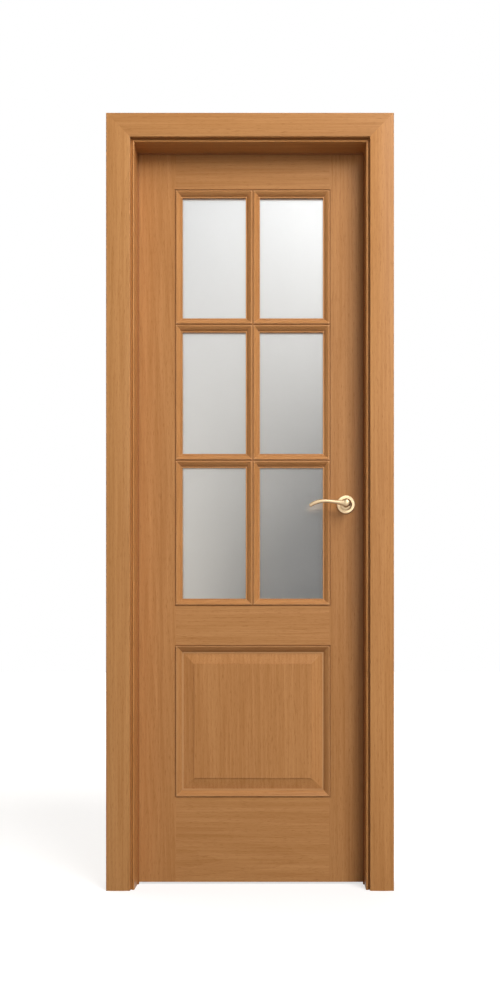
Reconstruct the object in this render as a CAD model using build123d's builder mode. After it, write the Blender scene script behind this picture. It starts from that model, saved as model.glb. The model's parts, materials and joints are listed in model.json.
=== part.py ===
from build123d import *
import os

# Part-glazed panel door hung in its rebated frame, in millimetres.
# x = 0 is the wall face of the hinge jamb and +x runs to the strike side.
# y = 0 is the middle of the jamb depth, and the leaf opens towards +y.
# z = 0 is the finished floor.

# Leaf
leaf_width = 638
leaf_height = 2030
leaf_thickness = 35
side_gap = 5
head_gap = 5
stop_gap = 5
floor_gap = 6
hinge_stile_width = 110
lock_stile_width = 101
top_rail_height = 106
lock_rail_height = 115
bottom_rail_height = 238
panel_opening_height = 418
quirk_width = 3
quirk_depth = 3
leaf_arris = 1
lock_edge_bevel = 2

# Frame and casings
jamb_depth = 110
jamb_thickness = 30
stop_projection = 9
jamb_bead_radius = 2.75
jamb_quirk_width = 4.5
jamb_quirk_depth = 4.5
casing_width = 65
casing_thickness = 12
casing_crown = 2
casing_edge_radius = 2
front_margin = 10
back_margin = 10

# Glazing: rows are measured from the lock rail up, to the middle of each bar
lower_row = 402
middle_row = 378
bar_thickness = 4
bar_recess = 2
glass_thickness = 4
pane_clearance = 3
bead_width = 17.5
bead_slope_width = 10
bead_slope_drop = 8.5
bead_crest = 2
bead_crest_width = 3
bead_crest_round = 0.8
bead_bulge = 0.7
bead_step = 1.5

# Raised panel
moulding_width = 20
moulding_slope_width = 14
moulding_slope_drop = 11
moulding_crest_width = 1.5
panel_edge_thickness = 12
panel_tongue = 8
groove_clearance = 0.2
groove_end_clearance = 1
panel_bevel_width = 30
panel_bevel_rise = 6.5
panel_shoulder = 1.5

# Butt hinges
hinge_height = 100
hinge_leaf_width = 28
hinge_from_top = 200
hinge_from_bottom = 250
knuckle_radius = 6.5
knuckle_count = 5
knuckle_gap = 0.4
knuckle_relief = 1
pin_setout = 9
pin_radius = 3
pin_clearance = 0.05
pin_head_radius = 5
pin_head_height = 3
pin_head_chamfer = 1

# Latch and strike
faceplate_length = 160
faceplate_width = 20
faceplate_thickness = 3
faceplate_corner = 3
bolt_width = 12
bolt_height = 22
bolt_length = 16
bolt_proud = 1.5
bolt_clearance = 0.3
strike_length = 120
strike_width = 22
strike_thickness = 2.5
strike_corner = 3
strike_window_clearance = 2
strike_pocket_depth = 14

# Lever handles
handle_height = 1050
backset = 55
spindle_side = 8
spindle_bore_radius = 10
socket_depth = 20
socket_clearance = 0.1
rosette_radius = 25.5
rosette_rim = 5
rosette_rim_round = 2.5
rosette_boss_radius = 17
rosette_height = 9
neck_radius = 9
neck_clearance = 0.2
neck_setback = 1
lever_projection = 42
lever_length = 102
lever_hub_radius = 12
lever_root_radius = 11
lever_shoulder_rise = 5.8
lever_shoulder_depth = 7.5
lever_waist_rise = 4.9
lever_waist_depth = 6
lever_tip_rise = 4.6
lever_tip_depth = 4.6
lever_crest_reach = 57
lever_crest_rise = 5
lever_droop = 8
lever_tip_return = 6
lever_tip_round = 3.2

# Places worked out from the sizes
leaf_left = jamb_thickness + side_gap
leaf_right = leaf_left + leaf_width
leaf_bottom = floor_gap
leaf_top = floor_gap + leaf_height
frame_width = leaf_width + 2 * (side_gap + jamb_thickness)
rebate_head = leaf_top + head_gap
frame_height = rebate_head + jamb_thickness
frame_front = -jamb_depth / 2
frame_back = jamb_depth / 2
leaf_back = frame_back
leaf_front = leaf_back - leaf_thickness
leaf_middle = (leaf_front + leaf_back) / 2
stop_back = leaf_front - stop_gap
stop_face = jamb_thickness + stop_projection
opening_left = leaf_left + hinge_stile_width
opening_right = leaf_right - lock_stile_width
opening_middle = (opening_left + opening_right) / 2
panel_low = leaf_bottom + bottom_rail_height
panel_high = panel_low + panel_opening_height
glazing_low = panel_high + lock_rail_height
glazing_high = leaf_top - top_rail_height
lower_bar = glazing_low + lower_row
upper_bar = lower_bar + middle_row
glass_seat = (leaf_thickness - glass_thickness) / 2
panel_seat = (leaf_thickness - panel_edge_thickness) / 2
groove_depth = panel_tongue + groove_end_clearance
groove_width = panel_edge_thickness + 2 * groove_clearance
pin_x = leaf_left - side_gap / 2
pin_y = leaf_back + pin_setout
hinge_leaf_thickness = side_gap / 2
hinge_levels = {
    "top": leaf_top - hinge_from_top,
    "middle": (leaf_top - hinge_from_top + leaf_bottom + hinge_from_bottom) / 2,
    "bottom": leaf_bottom + hinge_from_bottom,
}
handle_x = leaf_right - backset
handle_z = leaf_bottom + handle_height

FRONT = (0, -1, 0)
BACK = (0, 1, 0)
FACES = {"front": (leaf_front, FRONT), "back": (leaf_back, BACK)}
hinge_mitre = Plane(origin=(0, 0, frame_height), z_dir=(1, 0, 1))
strike_mitre = Plane(origin=(frame_width, 0, frame_height), z_dir=(-1, 0, 1))
lock_edge = Plane(
    origin=(leaf_right - lock_edge_bevel / 2, leaf_middle, handle_z),
    x_dir=(0, 0, 1),
    z_dir=(leaf_thickness, -lock_edge_bevel, 0),
)
strike_face = Plane(
    origin=(frame_width - jamb_thickness, leaf_middle, handle_z), x_dir=(0, 0, 1), z_dir=(-1, 0, 0)
)

os.makedirs("parts", exist_ok=True)


def keep(piece, name):
    """Label a finished piece and write it to its own file."""
    piece.part.label = name
    export_step(piece.part, f"parts/{name}.step")


def section_plane(origin, inward, outward):
    """Plane for a moulding's section: x runs inward and y outward."""
    return Plane(origin=origin, x_dir=inward, z_dir=Vector(inward).cross(Vector(outward)))


def moulding(section, plane, length, cuts):
    """Straight member of one section, centred on its plane and cut at its mitres."""
    with BuildPart() as piece:
        with BuildSketch(plane):
            add(section)
        extrude(amount=length / 2, both=True)
        for mitre, side in cuts:
            split(bisect_by=mitre, keep=side)
    return piece


# Rebated jamb section with a quirked bead on its front edge: x inward from the wall, y from front to back
bead_left = stop_face - 2 * jamb_bead_radius
bead_root = frame_front + jamb_bead_radius
quirk_left = bead_left - jamb_quirk_width
quirk_floor = frame_front + jamb_quirk_depth
with BuildSketch() as jamb_section:
    with BuildLine():
        Polyline(
            (stop_face, bead_root),
            (stop_face, stop_back),
            (jamb_thickness, stop_back),
            (jamb_thickness, frame_back),
            (0, frame_back),
            (0, frame_front),
            (quirk_left, frame_front),
            (quirk_left, quirk_floor),
            (bead_left, quirk_floor),
            (bead_left, bead_root),
        )
        bead_top = (stop_face - jamb_bead_radius, frame_front)
        ThreePointArc((bead_left, bead_root), bead_top, (stop_face, bead_root))
    make_face()

# Hinge jamb, with a shallow mortise for each hinge leaf
with BuildPart() as hinge_jamb:
    with BuildSketch(Plane.XY):
        add(jamb_section.sketch)
    extrude(amount=frame_height)
    split(bisect_by=hinge_mitre, keep=Keep.BOTTOM)
    for level in hinge_levels.values():
        with Locations((jamb_thickness, frame_back, level)):
            Box(
                hinge_leaf_thickness,
                hinge_leaf_width,
                hinge_height,
                align=(Align.MAX, Align.MAX, Align.CENTER),
                mode=Mode.SUBTRACT,
            )
keep(hinge_jamb, "hinge_jamb")

# Strike jamb, with the mortise and pocket behind the strike plate
with BuildPart() as strike_jamb:
    with BuildSketch(section_plane((frame_width, 0, 0), (-1, 0, 0), BACK)):
        add(jamb_section.sketch)
    extrude(amount=-frame_height)
    split(bisect_by=strike_mitre, keep=Keep.BOTTOM)
    with BuildSketch(strike_face):
        RectangleRounded(strike_length, strike_width, strike_corner)
    extrude(amount=-strike_thickness, mode=Mode.SUBTRACT)
    with BuildSketch(strike_face):
        Rectangle(bolt_height + 2 * strike_window_clearance, bolt_width + 2 * strike_window_clearance)
    extrude(amount=-strike_pocket_depth, mode=Mode.SUBTRACT)
keep(strike_jamb, "strike_jamb")

head_jamb = moulding(
    jamb_section.sketch,
    section_plane((frame_width / 2, 0, frame_height), (0, 0, -1), BACK),
    frame_width,
    [(hinge_mitre, Keep.TOP), (strike_mitre, Keep.TOP)],
)
keep(head_jamb, "head_jamb")

# Casing section: x inward from the outer edge, y outward from the wall
casing_edge = casing_thickness - casing_crown
with BuildSketch() as casing_section:
    with BuildLine():
        Polyline((0, casing_edge), (0, 0), (casing_width, 0), (casing_width, casing_edge))
        ThreePointArc((casing_width, casing_edge), (casing_width / 2, casing_thickness), (0, casing_edge))
    make_face()
    fillet(casing_section.vertices().group_by(Axis.Y)[-1], casing_edge_radius)

# Casings on both faces of the wall: how far the inner edge stands from the wall face of the jamb
casing_lines = {
    "front": (stop_face - front_margin, frame_front, FRONT),
    "back": (jamb_thickness - back_margin, frame_back, BACK),
}
for face, (inner_edge, wall, outward) in casing_lines.items():
    outer_edge = casing_width - inner_edge
    casing_top = frame_height + outer_edge
    left_casing = moulding(
        casing_section.sketch,
        section_plane((-outer_edge, wall, casing_top / 2), (1, 0, 0), outward),
        casing_top,
        [(hinge_mitre, Keep.BOTTOM)],
    )
    keep(left_casing, f"{face}_casing_left")
    right_casing = moulding(
        casing_section.sketch,
        section_plane((frame_width + outer_edge, wall, casing_top / 2), (-1, 0, 0), outward),
        casing_top,
        [(strike_mitre, Keep.BOTTOM)],
    )
    keep(right_casing, f"{face}_casing_right")
    head_casing = moulding(
        casing_section.sketch,
        section_plane((frame_width / 2, wall, casing_top), (0, 0, -1), outward),
        frame_width + 2 * outer_edge,
        [(hinge_mitre, Keep.TOP), (strike_mitre, Keep.TOP)],
    )
    keep(head_casing, f"{face}_casing_head")

# Strike plate, flush in the strike jamb
with BuildPart() as strike_plate:
    with BuildSketch(strike_face):
        RectangleRounded(strike_length, strike_width, strike_corner)
        Rectangle(
            bolt_height + 2 * strike_window_clearance,
            bolt_width + 2 * strike_window_clearance,
            mode=Mode.SUBTRACT,
        )
    extrude(amount=-strike_thickness)
keep(strike_plate, "strike_plate")

# Quirks, the fine grooves that set off the beads from the stiles and rails
opening_width = opening_right - opening_left
with BuildPart() as quirks:
    for place, outward in FACES.values():
        for low, high in ((panel_low, panel_high), (glazing_low, glazing_high)):
            middle = (opening_middle, place, (low + high) / 2)
            with BuildSketch(Plane(origin=middle, x_dir=(1, 0, 0), z_dir=outward)):
                Rectangle(opening_width + 2 * quirk_width, high - low + 2 * quirk_width)
                Rectangle(opening_width, high - low, mode=Mode.SUBTRACT)
            extrude(amount=-quirk_depth)

# Hinge stile, grooved for the panel and mortised for the hinge leaves
with BuildPart() as hinge_stile:
    with BuildSketch(Plane.XY.offset(leaf_bottom)) as hinge_stile_section:
        with Locations((leaf_left, leaf_front)):
            Rectangle(hinge_stile_width, leaf_thickness, align=(Align.MIN, Align.MIN))
        chamfer(hinge_stile_section.vertices().group_by(Axis.X)[0], leaf_arris)
    extrude(amount=leaf_height)
    with Locations((opening_left, leaf_middle, (panel_low + panel_high) / 2)):
        Box(
            groove_depth,
            groove_width,
            panel_opening_height + 2 * groove_depth,
            align=(Align.MAX, Align.CENTER, Align.CENTER),
            mode=Mode.SUBTRACT,
        )
    for level in hinge_levels.values():
        with Locations((leaf_left, leaf_back, level)):
            Box(
                hinge_leaf_thickness,
                hinge_leaf_width,
                hinge_height,
                align=(Align.MIN, Align.MAX, Align.CENTER),
                mode=Mode.SUBTRACT,
            )
    add(quirks.part, mode=Mode.SUBTRACT)
keep(hinge_stile, "hinge_stile")

# Lock stile, its outer edge bevelled to clear the jamb as it swings
with BuildPart() as lock_stile:
    with BuildSketch(Plane.XY.offset(leaf_bottom)) as lock_stile_section:
        with BuildLine():
            Polyline(
                (opening_right, leaf_front),
                (leaf_right - lock_edge_bevel, leaf_front),
                (leaf_right, leaf_back),
                (opening_right, leaf_back),
                close=True,
            )
        make_face()
        chamfer(lock_stile_section.vertices().sort_by(Axis.X)[-2:], leaf_arris)
    extrude(amount=leaf_height)
    with Locations((opening_right, leaf_middle, (panel_low + panel_high) / 2)):
        Box(
            groove_depth,
            groove_width,
            panel_opening_height + 2 * groove_depth,
            align=(Align.MIN, Align.CENTER, Align.CENTER),
            mode=Mode.SUBTRACT,
        )
    with BuildSketch(lock_edge):
        RectangleRounded(faceplate_length, faceplate_width, faceplate_corner)
    extrude(amount=-faceplate_thickness, mode=Mode.SUBTRACT)
    with BuildSketch(lock_edge):
        Rectangle(bolt_height + 2 * bolt_clearance, bolt_width + 2 * bolt_clearance)
    extrude(amount=-bolt_length, mode=Mode.SUBTRACT)
    with BuildSketch(Plane.XZ):
        with Locations((handle_x, handle_z)):
            Circle(spindle_bore_radius)
    extrude(amount=jamb_depth, both=True, mode=Mode.SUBTRACT)
    add(quirks.part, mode=Mode.SUBTRACT)
keep(lock_stile, "lock_stile")


def rail(low, high, groove_at):
    """Rail between the stiles, grooved along the edge that holds the panel."""
    with BuildPart() as piece:
        with Locations((opening_middle, leaf_middle, low)):
            Box(
                opening_width,
                leaf_thickness,
                high - low,
                align=(Align.CENTER, Align.CENTER, Align.MIN),
            )
        for edge, inside in groove_at:
            with Locations((opening_middle, leaf_middle, edge)):
                Box(
                    opening_width,
                    groove_width,
                    groove_depth,
                    align=(Align.CENTER, Align.CENTER, inside),
                    mode=Mode.SUBTRACT,
                )
        add(quirks.part, mode=Mode.SUBTRACT)
    return piece


keep(rail(glazing_high, leaf_top, []), "top_rail")
keep(rail(panel_high, glazing_low, [(panel_high, Align.MIN)]), "lock_rail")
keep(rail(leaf_bottom, panel_low, [(panel_low, Align.MAX)]), "bottom_rail")


def panel_plane(face, depth):
    """Plane over the middle of the panel, this deep behind one face of the leaf."""
    place, outward = FACES[face]
    centre = Vector(opening_middle, place, (panel_low + panel_high) / 2) - Vector(outward) * depth
    return Plane(origin=centre, x_dir=(1, 0, 0), z_dir=outward)


# Raised and fielded panel, the same on both faces, on a tongue that runs in the grooves
field_inset = moulding_width + panel_bevel_width
with BuildPart() as raised_panel:
    with Locations((opening_middle, leaf_middle, (panel_low + panel_high) / 2)):
        Box(opening_width + 2 * panel_tongue, panel_edge_thickness, panel_opening_height + 2 * panel_tongue)
    for face in FACES:
        field_plane = panel_plane(face, panel_seat - panel_bevel_rise)
        with BuildSketch(panel_plane(face, panel_seat)):
            Rectangle(opening_width - 2 * moulding_width, panel_opening_height - 2 * moulding_width)
        with BuildSketch(field_plane):
            Rectangle(opening_width - 2 * field_inset, panel_opening_height - 2 * field_inset)
        loft()
        with BuildSketch(field_plane):
            Rectangle(opening_width - 2 * field_inset, panel_opening_height - 2 * field_inset)
        extrude(amount=panel_shoulder)
keep(raised_panel, "raised_panel")


def bead_section(width, seat, crest_width, slope_width, slope_drop):
    """Crested bead with a rounded slope: x inward from the opening's edge, y outward from the leaf face."""
    crest = Vector(crest_width, bead_crest)
    foot = crest + Vector(slope_width, -slope_drop)
    swell = (crest + foot) / 2 + Vector(slope_drop, slope_width).normalized() * bead_bulge
    with BuildSketch() as section:
        with BuildLine():
            Polyline(
                foot,
                foot - Vector(0, bead_step),
                (width, foot.Y - bead_step),
                (width, -seat),
                (0, -seat),
                (0, bead_crest),
                crest,
            )
            ThreePointArc(crest, swell, foot)
        make_face()
        fillet(section.vertices().sort_by_distance((0, bead_crest))[0], bead_crest_round)
    return section.sketch


def bead_set(section, width, cells, face, upright):
    """The upright or the level beads of every cell on one face, mitred to the others."""
    place, outward = FACES[face]
    with BuildPart() as beads:
        for left, right, low, high in cells:
            middle = ((left + right) / 2, (low + high) / 2)
            if upright:
                runs = [((left, middle[1]), (1, 0, 0)), ((right, middle[1]), (-1, 0, 0))]
                length = high - low
            else:
                runs = [((middle[0], low), (0, 0, 1)), ((middle[0], high), (0, 0, -1))]
                length = right - left
            for (x, z), inward in runs:
                with BuildSketch(section_plane((x, place, z), inward, outward)):
                    add(section)
                extrude(amount=length / 2, both=True)
        with BuildSketch(Plane.XZ):
            for left, right, low, high in cells:
                inner = (left + width, right - width, low + width, high - width)
                corners = [(left, low), (left, high), (right, high), (right, low)]
                mitres = [
                    (inner[0], inner[2]), (inner[0], inner[3]), (inner[1], inner[3]), (inner[1], inner[2])
                ]
                for side in (1, 3) if upright else (0, 2):
                    ahead = (side + 1) % 4
                    with BuildLine():
                        Polyline(corners[side], corners[ahead], mitres[ahead], mitres[side], close=True)
                    make_face()
        extrude(amount=jamb_depth, both=True, mode=Mode.SUBTRACT)
    return beads


# Cells between the bars, as left, right, low and high edges
half_bar = bar_thickness / 2
columns = {
    "left": (opening_left, opening_middle - half_bar),
    "right": (opening_middle + half_bar, opening_right),
}
rows = {
    "bottom": (glazing_low, lower_bar - half_bar),
    "middle": (lower_bar + half_bar, upper_bar - half_bar),
    "top": (upper_bar + half_bar, glazing_high),
}
glazing_cells = [(*column, *row) for row in rows.values() for column in columns.values()]
panel_cells = [(opening_left, opening_right, panel_low, panel_high)]
glazing_bead = bead_section(bead_width, glass_seat, bead_crest_width, bead_slope_width, bead_slope_drop)
panel_bead = bead_section(
    moulding_width, panel_seat, moulding_crest_width, moulding_slope_width, moulding_slope_drop
)

for face in FACES:
    for upright, run in ((True, "upright"), (False, "level")):
        keep(bead_set(glazing_bead, bead_width, glazing_cells, face, upright), f"{face}_{run}_beads")
        keep(bead_set(panel_bead, moulding_width, panel_cells, face, upright), f"{face}_{run}_mouldings")

# Glazing bars, thin slats halved into each other where they cross
bar_depth = leaf_thickness - 2 * bar_recess
with BuildPart() as upright_bar:
    with Locations((opening_middle, leaf_middle, glazing_low)):
        Box(
            bar_thickness,
            bar_depth,
            glazing_high - glazing_low,
            align=(Align.CENTER, Align.CENTER, Align.MIN),
        )
    with Locations((opening_middle, leaf_middle, lower_bar), (opening_middle, leaf_middle, upper_bar)):
        Box(
            bar_thickness,
            bar_depth / 2,
            bar_thickness,
            align=(Align.CENTER, Align.MAX, Align.CENTER),
            mode=Mode.SUBTRACT,
        )
keep(upright_bar, "upright_glazing_bar")

for name, level in (("upper", upper_bar), ("lower", lower_bar)):
    with BuildPart() as level_bar:
        with Locations((opening_middle, leaf_middle, level)):
            Box(opening_width, bar_depth, bar_thickness)
            Box(
                bar_thickness,
                bar_depth / 2,
                bar_thickness,
                align=(Align.CENTER, Align.MIN, Align.CENTER),
                mode=Mode.SUBTRACT,
            )
    keep(level_bar, f"{name}_glazing_bar")

# Panes, held between the front and the back beads
for row_name, (low, high) in rows.items():
    for column_name, (left, right) in columns.items():
        with BuildPart() as pane:
            with Locations(((left + right) / 2, leaf_middle, (low + high) / 2)):
                Box(right - left - 2 * pane_clearance, glass_thickness, high - low - 2 * pane_clearance)
        keep(pane, f"{row_name}_{column_name}_pane")


def hinge_half(level, plate_low, knuckles):
    """One half of a butt hinge: the plate in the timber and its share of the knuckles."""
    bottom = level - hinge_height / 2
    pitch = hinge_height / knuckle_count
    plate_edge = pin_y - knuckle_radius - knuckle_relief
    with BuildPart() as half:
        with Locations((plate_low, leaf_back - hinge_leaf_width, bottom)):
            Box(
                hinge_leaf_thickness,
                plate_edge - leaf_back + hinge_leaf_width,
                hinge_height,
                align=(Align.MIN, Align.MIN, Align.MIN),
            )
        for knuckle in knuckles:
            with BuildSketch(Plane.XY.offset(bottom + knuckle * pitch + knuckle_gap / 2)):
                with Locations((pin_x, pin_y)):
                    Circle(knuckle_radius)
                with Locations((plate_low, plate_edge)):
                    Rectangle(hinge_leaf_thickness, pin_y - plate_edge, align=(Align.MIN, Align.MIN))
            extrude(amount=pitch - knuckle_gap)
        with BuildSketch(Plane.XY.offset(bottom)):
            with Locations((pin_x, pin_y)):
                Circle(pin_radius + pin_clearance)
        extrude(amount=hinge_height, mode=Mode.SUBTRACT)
    return half


for place, level in hinge_levels.items():
    frame_plate = jamb_thickness - hinge_leaf_thickness
    keep(hinge_half(level, frame_plate, range(0, knuckle_count, 2)), f"{place}_hinge_frame_half")
    keep(hinge_half(level, leaf_left, range(1, knuckle_count, 2)), f"{place}_hinge_leaf_half")

# Hinge pins with button heads
with BuildPart() as hinge_pins:
    for level in hinge_levels.values():
        with Locations((pin_x, pin_y, level)):
            Cylinder(pin_radius, hinge_height)
        with Locations((pin_x, pin_y, level + hinge_height / 2)):
            Cylinder(pin_head_radius, pin_head_height, align=(Align.CENTER, Align.CENTER, Align.MIN))
        with Locations((pin_x, pin_y, level - hinge_height / 2)):
            Cylinder(pin_head_radius, pin_head_height, align=(Align.CENTER, Align.CENTER, Align.MAX))
    chamfer(hinge_pins.edges().filter_by(GeomType.CIRCLE).group_by(SortBy.RADIUS)[-1], pin_head_chamfer)
keep(hinge_pins, "hinge_pins")

# Latch faceplate and bolt in the bevelled lock edge
with BuildPart() as latch_faceplate:
    with BuildSketch(lock_edge):
        RectangleRounded(faceplate_length, faceplate_width, faceplate_corner)
        Rectangle(bolt_height + 2 * bolt_clearance, bolt_width + 2 * bolt_clearance, mode=Mode.SUBTRACT)
    extrude(amount=-faceplate_thickness)
keep(latch_faceplate, "latch_faceplate")

with BuildPart() as latch_bolt:
    with BuildSketch(lock_edge.offset(-bolt_length)):
        Rectangle(bolt_height, bolt_width)
    extrude(amount=bolt_length + bolt_proud)
keep(latch_bolt, "latch_bolt")


def handle_plane(face):
    """Plane through the spindle axis: x runs out from the axis and y away from the leaf."""
    place, outward = FACES[face]
    return section_plane((handle_x, place, handle_z), (1, 0, 0), outward)


# Round rosettes with a rounded rim and a raised boss around the neck
for face, (place, outward) in FACES.items():
    neck_bore = neck_radius + neck_clearance
    with BuildPart() as rosette:
        with BuildSketch(handle_plane(face)) as rosette_section:
            with BuildLine():
                Polyline(
                    (rosette_boss_radius, rosette_rim),
                    (rosette_radius, rosette_rim),
                    (rosette_radius, 0),
                    (neck_bore, 0),
                    (neck_bore, rosette_height),
                )
                TangentArc((neck_bore, rosette_height), (rosette_boss_radius, rosette_rim), tangent=(1, 0))
            make_face()
            rim = rosette_section.vertices().sort_by_distance(
                handle_plane(face).from_local_coords((rosette_radius, rosette_rim))
            )
            fillet(rim[0], rosette_rim_round)
        revolve(axis=Axis((handle_x, place, handle_z), outward))
    keep(rosette, f"{face}_rosette")

# Front lever: a neck out of the rosette, a rounded hub and a slender arm that rises and then droops
hub = Vector(handle_x, leaf_front - lever_projection, handle_z)
arm_crest = hub - Vector(lever_crest_reach, 0, -lever_crest_rise)
arm_tip = hub - Vector(lever_length, -lever_tip_return, lever_droop)
arm_stations = (
    (0, lever_root_radius, lever_root_radius),
    (0.24, lever_shoulder_rise, lever_shoulder_depth),
    (0.55, lever_waist_rise, lever_waist_depth),
    (1, lever_tip_rise, lever_tip_depth),
)
with BuildLine() as lever_arm:
    Spline(hub, arm_crest, arm_tip, tangents=[(-1, 0, 0), (-1, 0.1, -0.55)])
with BuildPart() as front_lever:
    for along, half_rise, half_depth in arm_stations:
        station = Plane(origin=lever_arm.line @ along, x_dir=(0, 0, 1), z_dir=lever_arm.line % along)
        with BuildSketch(station):
            Ellipse(half_rise, half_depth)
    loft()
    fillet(front_lever.faces().sort_by(Axis.X)[0].edges(), lever_tip_round)
    with Locations(hub):
        Sphere(lever_hub_radius)
    with BuildSketch(Plane(origin=(handle_x, leaf_front - neck_setback, handle_z), z_dir=FRONT)):
        Circle(neck_radius)
    extrude(amount=lever_projection - neck_setback)
    with BuildSketch(Plane(origin=(handle_x, leaf_front - neck_setback, handle_z), z_dir=FRONT)):
        Rectangle(spindle_side + 2 * socket_clearance, spindle_side + 2 * socket_clearance)
    extrude(amount=socket_depth, mode=Mode.SUBTRACT)
keep(front_lever, "front_lever")

with BuildPart() as back_lever:
    mirror(front_lever.part, about=Plane.XZ.offset(-leaf_middle))
keep(back_lever, "back_lever")

with BuildPart() as spindle:
    with Locations((handle_x, leaf_middle, handle_z)):
        Box(spindle_side, leaf_thickness + 2 * (neck_setback + socket_depth), spindle_side)
keep(spindle, "spindle")
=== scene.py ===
"""Finish a part-glazed oak door: lacquered timber, frosted panes and satin brassware, on a pale stage."""

import json
import math
import random

import bmesh
import bpy
from mathutils import Matrix, Vector


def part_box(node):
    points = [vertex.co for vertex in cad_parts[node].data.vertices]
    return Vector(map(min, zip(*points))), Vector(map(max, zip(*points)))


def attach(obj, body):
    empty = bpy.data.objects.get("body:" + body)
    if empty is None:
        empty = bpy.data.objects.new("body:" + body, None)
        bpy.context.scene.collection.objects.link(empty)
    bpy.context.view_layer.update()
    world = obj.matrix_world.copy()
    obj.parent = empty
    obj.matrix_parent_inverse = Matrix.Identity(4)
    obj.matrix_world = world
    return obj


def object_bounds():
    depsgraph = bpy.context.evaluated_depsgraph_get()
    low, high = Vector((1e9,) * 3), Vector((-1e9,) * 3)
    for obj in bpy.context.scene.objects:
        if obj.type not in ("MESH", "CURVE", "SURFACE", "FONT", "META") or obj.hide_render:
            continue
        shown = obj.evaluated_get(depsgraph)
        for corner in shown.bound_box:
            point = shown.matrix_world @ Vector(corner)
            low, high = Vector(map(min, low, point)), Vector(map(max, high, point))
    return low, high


bl_info = {
    "name": "Part-glazed oak door",
    "version": (1, 0, 0),
    "blender": (4, 5, 0),
    "location": "3D View > Sidebar > Door",
    "description": "Finishes the door's timber, glass and brassware, adds its screws and sets the stage",
    "category": "Object",
}

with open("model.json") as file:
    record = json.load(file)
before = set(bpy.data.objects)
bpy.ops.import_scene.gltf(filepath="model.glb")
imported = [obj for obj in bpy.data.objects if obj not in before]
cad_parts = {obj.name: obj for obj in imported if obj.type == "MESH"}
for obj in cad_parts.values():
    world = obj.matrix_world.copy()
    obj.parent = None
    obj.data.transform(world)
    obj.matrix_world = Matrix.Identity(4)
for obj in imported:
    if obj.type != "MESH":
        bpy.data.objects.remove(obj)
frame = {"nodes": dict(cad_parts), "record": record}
CAD_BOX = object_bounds()
NODES = frame["nodes"]
SLOT_OF = {part["node"]: part["material_slot"] for part in frame["record"]["subparts"]}
BODY_OF = {node: body for body, nodes in frame["record"]["behaviour"]["bodies"].items() for node in nodes}

# Timber: which boards lie level, how boards differ, with a painted highlight on the upright beads, and what
# each part of the figure does.
LEVEL_WORDS = ("rail", "head", "level", "upper_glazing", "lower_glazing")
TRIM_WORDS = ("beads", "mouldings")
BOARD_TONES_AND_BEAD_HIGHLIGHT = {
    # The upright beads are made lighter as a painted highlight, for the light that falls on their slopes.
    "front_upright_beads": 1.10,
    "front_casing_left": 1.03,
    "front_casing_head": 0.92,
    "front_casing_right": 1.02,
    "hinge_jamb": 1.06,
    "head_jamb": 0.96,
    "lock_stile": 0.96,
    "lock_rail": 1.03,
    "bottom_rail": 1.06,
    "raised_panel": 1.08,
}
BOARD_SEED = 11
BOARD_SHIFTS = ((-0.12, 0.12), (0.0, 0.08), (-9, 9))
BOARD_TONE = (0.98, 1.02)
BOARD_WARMTH = (-0.02, 0.02)
HEART_OFFSET = (0.021, 0.094, 0)
HEART_LEAN = (math.radians(2.2), math.radians(0.8), 0)
HEART_STRETCH = (1, 1, 0.05)
RING_SHARE, STREAK_SHARE, BAND_SHARE = 0.20, 0.40, 0.55
BAND_SPREAD, STREAK_SPREAD, PORE_SPREAD = (0.28, 0.72), (0.3, 0.7), (0.56, 0.70)
PORE_FILL, PORE_RING_FILL = 0.5, 0.35
OAK_DULLNESS, STREAK_DULLNESS, PORE_DULLNESS = 0.42, 0.08, 0.10
STREAK_RELIEF, PORE_RELIEF = 0.25, -0.75
OAK_SHEEN = 0.12
OCCLUSION_RANGE = (0.95, 0.5)

# Glass, metal and rubber: how far the noise moves their roughness and tone.
FROST_CHANGE = 0.04
METAL_TONES, METAL_WEAR = (0.94, 1.05), (-0.05, 0.07)
RUBBER_BLOOM = 1.25

# Seal and screws: sides of their sections, shares of a head's radius and rise, and places on the plates.
SEAL_SIDES = 20
SCREW_SIDES = 24
SCREW_TOP = 0.78
SCREW_RIM = ((0.95, -0.35), (1.0, -1.0))
SCREW_CROSS_REACH, SCREW_CROSS_HALF, SCREW_CROSS_DEPTH = 0.56, 0.13, 0.9
SCREW_TURN = 900.0
HINGE_SCREWS = ((-0.009, -0.035), (-0.003, 0.0), (-0.009, 0.035))
STRIKE_SCREWS = ((0.0, -0.045), (0.0, 0.045))
FACEPLATE_SCREWS = ((0.0, -0.068), (0.0, 0.068))

# Stage: the glowing sheet behind the panes that paints their light and shade, the floor, the lamps' places
# from the door's middle, and the back light.
PANE_SHADING_SIDE = 8.0
PANE_SHADING_WIDTH = (0.08, 0.58)
PANE_SHADING_HEIGHT = (0.83, 2.25)
PANE_SHADING_LEVELS = (0.02, 1.2)
PANE_SHADING_WARMTH = (1.0, 0.92, 0.81)
FLOOR_BOUNCE = (0.24, 0.24, 0.24, 1)
FLOOR_GREY = (0.4, 0.4, 0.4, 1)
FLOOR_REACH, FLOOR_GLOW = (1.5, 4.5), (0.66, 1.0)
KEY_DISTANCE = 6.0
TOP_PLACE, TOP_SIZE = (1.2, -2.6, 4.2), 2.0
FRONT_PLACE, FRONT_SIZE = (0.8, -6.0, 1.0), 2.5
BACK_SPREAD = (0.4, 0.95)

# Nodes: colour sockets of a Mix node, a wave's radians in a metre at scale 1, and where noise mostly lies.
MIX_FIRST, MIX_SECOND, MIX_RESULT = 6, 7, 2
WAVE_RADIANS = 20
NOISE_MIDDLE = (0.3, 0.7)

# Meshes: how squarely a plate's face looks outward, and how close points are merged.
FLAT_COSINE = 0.99
MERGE_DISTANCE = 1e-6


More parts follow.
